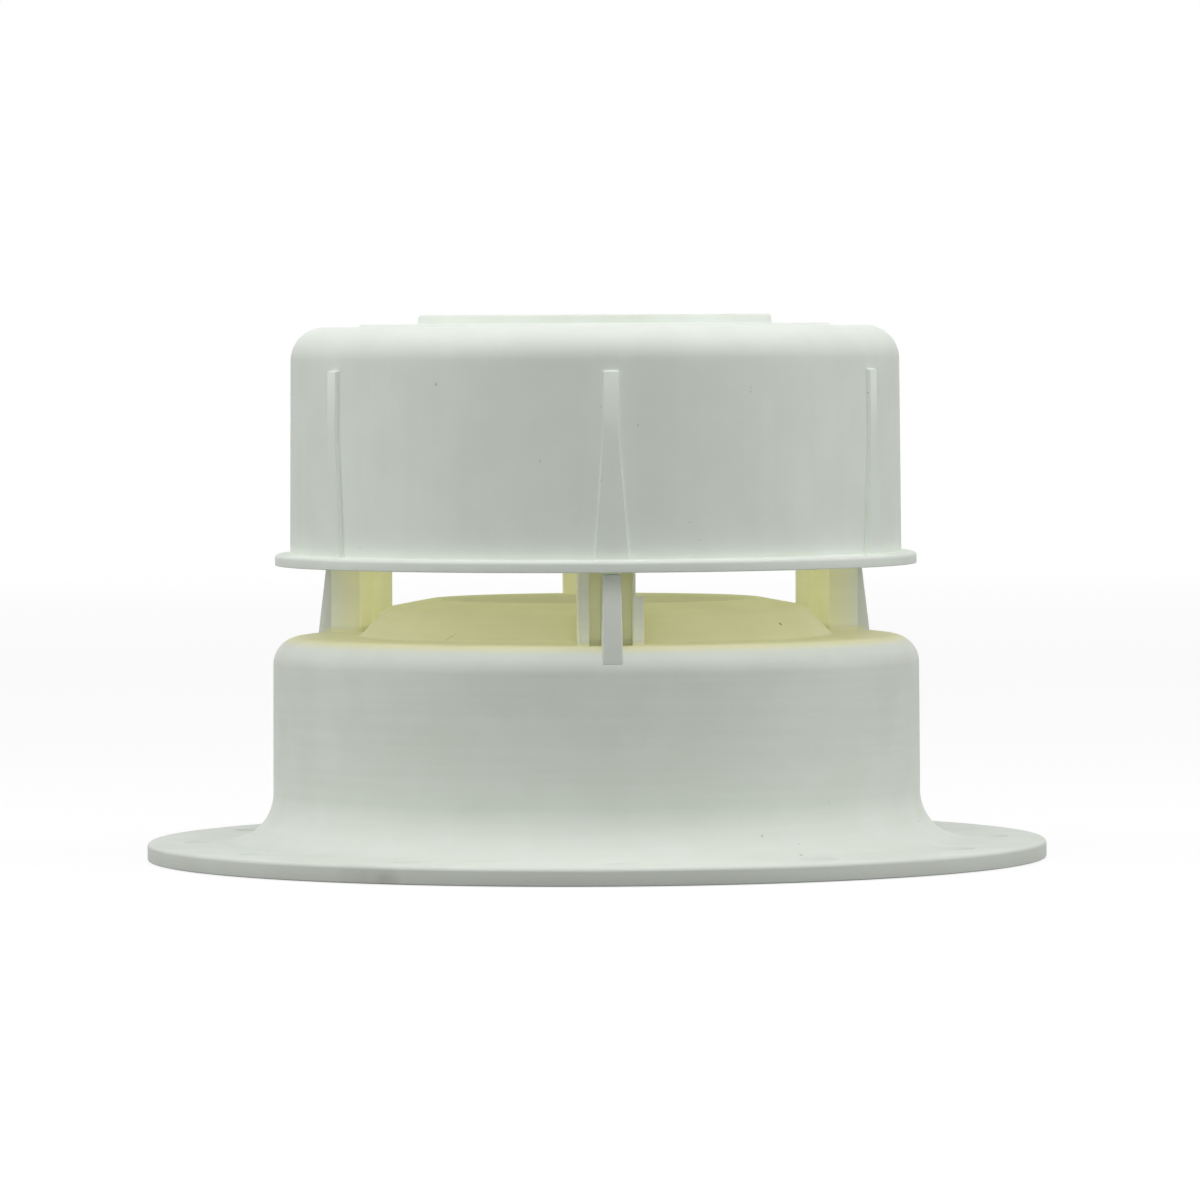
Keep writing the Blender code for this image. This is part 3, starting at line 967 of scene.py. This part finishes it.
class Mark(NamedTuple):
    """A speck on the surface: where it is and its radius, in millimetres, and how dark it is."""

    x: float
    y: float
    z: float
    radius: float
    strength: float


@dataclass(frozen=True)
class Zone:
    """A ring about the axis, in millimetres, between two radii and two heights.

    Its borders are soft, and its share says how strongly it counts.
    """

    inner: float
    outer: float
    low: float
    high: float
    soft: float = 0.3
    soft_height: float = 0.5
    share: float = 1.0

    def mask(self, desk: NodeDesk, spot: Spot) -> Link:
        """Give a mask that is the zone's share in the zone and 0 outside it.

        Args:
            desk: where the nodes go.
            spot: the point of the surface.

        Returns:
            The mask.
        """
        mask: Value = self.share
        for value, low, high, soft in (
            (spot.radius, self.inner, self.outer, self.soft),
            (spot.height, self.low, self.high, self.soft_height),
        ):
            mask = desk.calc("MULTIPLY", desk.ramp(value, (low - soft) * MM, (low + soft) * MM), mask)
            mask = desk.calc("MULTIPLY", desk.ramp(value, (high + soft) * MM, (high - soft) * MM), mask)
        return mask


def strongest(desk: NodeDesk, zones: tuple[Zone, ...], spot: Spot) -> Value:
    """Give the strongest of the masks of some zones.

    Args:
        desk: where the nodes go.
        zones: the zones.
        spot: the point of the surface.

    Returns:
        The mask.
    """
    mask: Value = 0.0
    for zone in zones:
        mask = desk.calc("MAXIMUM", zone.mask(desk, spot), mask)
    return mask


@dataclass(frozen=True)
class WhitePlastic:
    """White moulded plastic with painted shade: the inner colour, a yellow tint where the moulding
    encloses it, stands in for the yellowish light of the shaded interior.

    The glow stands in for the light that soaks through the thin walls into the enclosed part. The
    streaks are noise that stretch squeezes along each axis.
    """

    name: str
    outer: Colour
    # painted shade: inner is the yellow tint that the enclosed zones get in place of the interior's
    # yellowish light
    inner: Colour
    enclosed: tuple[Zone, ...]
    glowing: tuple[Zone, ...]
    glow: float
    glow_colour: Colour
    stretch: tuple[float, float, float]
    streak_share: float
    marks: tuple[Mark, ...]
    speck: Colour
    patch_tint: Colour = (0.97, 0.97, 0.96)
    streak_tint: Colour = (0.955, 0.96, 0.95)
    roughness: float = 0.50
    patch_roughness: float = 0.07
    fine_grain: float = 0.25
    grain_depth: float = 0.05 * MM
    grain_strength: float = 0.35
    refraction: float = 1.5
    specular: float = 0.15

    def tint(
        self, desk: NodeDesk, spot: Spot, surface: bpy.types.Node, mark: bpy.types.NodeTree
    ) -> Link:
        """Work out the colour.

        Args:
            desk: where the nodes go.
            spot: the point of the surface.
            surface: the moulded grain's node.
            mark: the round mark group.

        Returns:
            The colour, with its painted shade tint in the enclosed zones, its patches, streaks and
            marks.
        """
        # painted shade: in the enclosed zones the colour turns to the yellow inner tint, standing in
        # for the light there
        painted_shade_share = strongest(desk, self.enclosed, spot)
        colour = desk.blend(painted_shade_share, (*self.outer, 1.0), (*self.inner, 1.0))
        for part, share, shade_of in (
            ("Sheen", 1.0, self.patch_tint), ("Streak", self.streak_share, self.streak_tint)
        ):
            duller = desk.blend(1.0, colour, (*shade_of, 1.0), "MULTIPLY")
            colour = desk.blend(desk.calc("MULTIPLY", surface.outputs[part], share), colour, duller)
        for speck in self.marks:
            node = desk.add("ShaderNodeGroup", node_tree=mark)
            centre = Vector(speck[:3]) * MM
            desk.fill(node, {"Vector": spot.place, "Centre": centre, "Radius": speck.radius * MM})
            share = desk.calc("MULTIPLY", node.outputs["Mask"], speck.strength)
            colour = desk.blend(share, colour, (*self.speck, 1.0))
        return colour

    def material(self, grain: bpy.types.NodeTree, mark: bpy.types.NodeTree) -> bpy.types.Material:
        """Make the material.

        Args:
            grain: the moulded grain group.
            mark: the round mark group.

        Returns:
            The material.
        """
        made = bpy.data.materials.new(self.name)
        made.use_nodes = True
        desk = NodeDesk(made.node_tree)
        shader = made.node_tree.nodes["Principled BSDF"]
        spot = surface_spot(desk)
        surface = desk.add("ShaderNodeGroup", node_tree=grain)
        fills = {"Vector": spot.place, "Fine": self.fine_grain, "Stretch": self.stretch}
        desk.fill(surface, fills)
        rougher = desk.calc("MULTIPLY", surface.outputs["Sheen"], self.patch_roughness)
        relief = desk.add("ShaderNodeBump", {
            "Distance": self.grain_depth,
            "Strength": self.grain_strength,
            "Height": surface.outputs["Height"],
        })
        glowing = strongest(desk, self.glowing, spot)
        desk.fill(shader, {
            "Base Color": self.tint(desk, spot, surface, mark),
            "Roughness": desk.calc("ADD", rougher, self.roughness),
            "Normal": relief.outputs["Normal"],
            "Emission Color": desk.blend(glowing, (0.0, 0.0, 0.0, 1.0), (*self.glow_colour, 1.0)),
            "Emission Strength": self.glow,
            "IOR": self.refraction,
            "Specular IOR Level": self.specular,
        })
        return made


@dataclass(frozen=True)
class Lamp:
    """A square softbox that faces the middle of the object. Its two angles are in degrees."""

    name: str
    azimuth: float
    elevation: float
    size: float
    power: float
    colour: Colour = (1.0, 1.0, 1.0)
    distance: float = 1.2

    def build(self, aim: Vector) -> None:
        """Place the lamp round a point and turn it towards that point."""
        light = bpy.data.lights.new(self.name, "AREA")
        light.shape = "SQUARE"
        light.size = self.size
        light.energy = self.power
        light.color = self.colour
        made = add_object(self.name, light)
        azimuth, elevation = math.radians(self.azimuth), math.radians(self.elevation)
        flat = math.cos(elevation)
        away = Vector((math.sin(azimuth) * flat, -math.cos(azimuth) * flat, math.sin(elevation)))
        made.location = aim + away * self.distance
        made.rotation_mode = "QUATERNION"
        made.rotation_quaternion = away.to_track_quat("Z", "Y")


def seen_plainly(desk: NodeDesk) -> Link:
    """Give 1 to rays from the camera and to reflected and transmitted ones, and 0 to diffuse ones."""
    path = desk.add("ShaderNodeLightPath").outputs
    clear = desk.calc("SUBTRACT", path["Is Transmission Ray"], path["Is Diffuse Ray"], True)
    seen = desk.calc("MAXIMUM", path["Is Camera Ray"], path["Is Glossy Ray"])
    return desk.calc("MAXIMUM", seen, clear)


@dataclass(frozen=True)
class Studio:
    """White floor and background, softboxes, and a long-lens camera a little above the flange."""

    lamps: tuple[Lamp, ...]
    world: float = 0.05
    floor_bounce: float = 0.16
    floor_glow: float = 0.86
    floor_half: float = 12.0
    floor_drop: float = 0.2 * MM
    floor_fade: Span = (0.3, 2.5)
    camera_distance: float = 1.6236
    camera_height: float = 103.95 * MM
    camera_side: float = 0.8 * MM
    aim_height: float = 50.9 * MM
    lens: float = 246.0
    sensor_width: float = 36.0
    clip_end: float = 60.0
    roll: float = math.radians(0.26)

    def build_floor(self) -> None:
        """Make the floor. The camera and reflections see it near white, with the object's shadow."""
        mesh = bpy.data.meshes.new("floor")
        corners = [
            (x * self.floor_half, y * self.floor_half, -self.floor_drop)
            for x, y in ((-1, -1), (1, -1), (1, 1), (-1, 1))
        ]
        mesh.from_pydata(corners, [], [(0, 1, 2, 3)])
        material = bpy.data.materials.new("pale_floor")
        material.use_nodes = True
        desk = NodeDesk(material.node_tree)
        material.node_tree.nodes.remove(material.node_tree.nodes["Principled BSDF"])
        bounce = desk.add("ShaderNodeBsdfDiffuse", {"Color": (*(self.floor_bounce,) * 3, 1.0)})
        place = desk.add("ShaderNodeTexCoord").outputs["Object"]
        length = desk.add("ShaderNodeVectorMath", {0: place}, operation="LENGTH")
        far = desk.ramp(length.outputs["Value"], *self.floor_fade)
        level = desk.calc("MULTIPLY", seen_plainly(desk), desk.between(far, self.floor_glow, 1.0))
        glow = desk.add("ShaderNodeEmission", {"Strength": level})
        total = desk.add("ShaderNodeAddShader", {0: bounce.outputs[0], 1: glow.outputs[0]})
        desk.fill(material.node_tree.nodes["Material Output"], {"Surface": total.outputs[0]})
        mesh.materials.append(material)
        add_object("floor", mesh)

    def build_world(self) -> None:
        """Make the world: soft even light, seen as plain white."""
        world = bpy.data.worlds.new("studio")
        world.use_nodes = True
        bpy.context.scene.world = world
        desk = NodeDesk(world.node_tree)
        strength = desk.between(seen_plainly(desk), self.world, 1.0)
        background = world.node_tree.nodes["Background"]
        desk.fill(background, {"Color": (1.0, 1.0, 1.0, 1.0), "Strength": strength})

    def build_camera(self) -> None:
        """Make the camera: aimed at the object's middle, with the small roll of the picture."""
        data = bpy.data.cameras.new("camera")
        data.lens = self.lens
        data.sensor_width = self.sensor_width
        data.clip_end = self.clip_end
        camera = add_object("camera", data)
        camera.location = (self.camera_side, -self.camera_distance, self.camera_height)
        aim = Vector((self.camera_side, 0.0, self.aim_height))
        facing = (aim - camera.location).to_track_quat("-Z", "Y")
        camera.rotation_mode = "QUATERNION"
        camera.rotation_quaternion = facing @ Matrix.Rotation(-self.roll, 3, "Z").to_quaternion()
        bpy.context.scene.camera = camera

    def build(self) -> None:
        """Make the whole studio."""
        self.build_floor()
        self.build_world()
        self.build_camera()
        aim = Vector((0.0, 0.0, self.aim_height))
        for lamp in self.lamps:
            lamp.build(aim)
        bpy.context.scene.view_settings.view_transform = "Standard"


def dress(
    made: bpy.types.Object, material: bpy.types.Material, node: str, body: str
) -> None:
    """Give a moulding its material and tie it to the frame.

    Args:
        made: the moulding.
        material: its finish.
        node: the CAD node that it stands for.
        body: the body that it moves with.
    """
    made.data.materials.clear()
    made.data.materials.append(material)
    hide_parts(node)
    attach(made, body)
    LOG.info("%s: %d faces", made.name, len(made.data.polygons))


COOL_WHITE = (0.99, 0.955, 1.0)
BASE_PLASTIC = WhitePlastic(
    name="white_base_plastic",
    outer=(0.745, 0.795, 0.72),
    # painted shade: yellow inner tint on the dome, the legs and the deck under the cap, where the cap
    # shades them
    inner=(0.85, 0.845, 0.56),
    enclosed=(
        Zone(-10.0, 55.5, 43.0, 100.0, soft=7.5),
        Zone(-10.0, 61.5, 42.8, 44.6, soft=2.0),
    ),
    glowing=(
        Zone(48.2, 58.8, 45.0, 86.0, share=0.33),
        Zone(29.5, 31.4, 44.0, 51.0, share=0.8),
        Zone(46.4, 51.3, 45.0, 86.0, share=0.75),
    ),
    glow=0.16,
    glow_colour=(0.99, 0.99, 0.60),
    stretch=(25.0, 25.0, 700.0),
    streak_share=0.45,
    marks=(
        Mark(36.0, -25.4, 46.9, 0.50, 0.85),
        Mark(40.8, -32.2, 44.0, 0.35, 0.40),
        Mark(-28.9, -36.2, 44.5, 0.28, 0.35),
        Mark(-28.5, -36.2, 44.8, 0.26, 0.35),
        Mark(-28.1, -36.2, 45.1, 0.28, 0.40),
        Mark(-27.7, -36.2, 45.3, 0.26, 0.35),
        Mark(-27.3, -36.1, 45.6, 0.24, 0.30),
        Mark(31.6, -57.8, 7.5, 0.40, 0.40),
        Mark(38.7, -55.3, 5.8, 0.30, 0.30),
        Mark(39.0, -59.3, 3.9, 0.55, 0.45),
        Mark(44.7, -45.8, 13.1, 0.30, 0.25),
        Mark(63.1, -18.0, 7.9, 0.40, 0.30),
        Mark(-46.3, -76.0, 1.6, 4.50, 0.10),
        Mark(-42.5, -78.2, 0.9, 4.50, 0.12),
        Mark(-39.5, -79.8, 0.4, 3.50, 0.18),
    ),
    speck=(0.20, 0.14, 0.06),
)
CAP_PLASTIC = WhitePlastic(
    name="white_cap_plastic",
    outer=(0.82, 0.88, 0.80),
    # painted shade: yellow inner tint on the cap's inside, which lies in shade
    inner=(0.99, 0.98, 0.84),
    enclosed=(Zone(-10.0, 59.0, 50.0, 95.0),),
    glowing=(
        Zone(-10.0, 53.5, 50.0, 104.0),
        Zone(50.0, 59.5, 50.0, 98.0),
        Zone(50.0, 58.9, 97.0, 100.8),
        Zone(50.0, 56.5, 97.0, 102.8),
        Zone(-10.0, 34.5, 100.0, 106.2),
    ),
    glow=0.203,
    glow_colour=(1.0, 0.98, 0.84),
    stretch=(260.0, 260.0, 12.0),
    streak_share=0.3,
    marks=(
        Mark(-30.4, -52.0, 94.1, 0.40, 0.35),
        Mark(-10.5, -59.4, 79.4, 0.30, 0.25),
        Mark(29.9, -52.3, 93.2, 0.35, 0.14),
        Mark(29.9, -52.3, 92.4, 0.35, 0.14),
        Mark(53.1, -28.9, 91.9, 0.30, 0.30),
        Mark(1.2, -60.3, 89.7, 0.25, 0.20),
        Mark(1.1, -61.1, 75.6, 0.25, 0.20),
        Mark(8.2, -59.7, 86.2, 0.35, 0.22),
        Mark(18.1, -57.7, 67.6, 0.25, 0.22),
        Mark(20.0, -57.1, 64.2, 0.25, 0.22),
        Mark(-45.5, -39.8, 62.5, 0.40, 0.16),
    ),
    speck=(0.13, 0.11, 0.07),
)
STUDIO = Studio(lamps=(
    Lamp("left_box", -98.0, 9.0, 0.5, 3.1),
    Lamp("right_box", 98.0, 9.0, 0.5, 3.1),
    Lamp("high_left_box", -80.0, 42.0, 0.9, 3.7, COOL_WHITE),
    Lamp("high_right_box", 80.0, 42.0, 0.9, 3.7, COOL_WHITE),
    Lamp("top_box", 0.0, 87.0, 1.2, 6.6, COOL_WHITE),
    Lamp("front_box", 0.0, 9.0, 0.6, 2.5),
    Lamp("high_front_box", 0.0, 50.0, 0.9, 3.5),
))


def main() -> None:
    """Build the mouldings, their plastic and the studio."""
    logging.basicConfig(level=logging.INFO)
    _, base_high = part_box("vent_base")
    cap_low, cap_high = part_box("vent_cap")
    grain = moulded_grain()
    mark = round_mark()
    base = BaseMoulding(flange_radius=base_high[0], lip_z=cap_low[2], leg_top=base_high[2])
    cap = CapMoulding(
        lip_z=cap_low[2], lip_radius=cap_high[0], top_z=cap_high[2], leg_top=base_high[2]
    )
    dress(base.build(), BASE_PLASTIC.material(grain, mark), "vent_base", "base")
    dress(cap.build(), CAP_PLASTIC.material(grain, mark), "vent_cap", "cap")
    STUDIO.build()


if __name__ == "__main__":
    main()
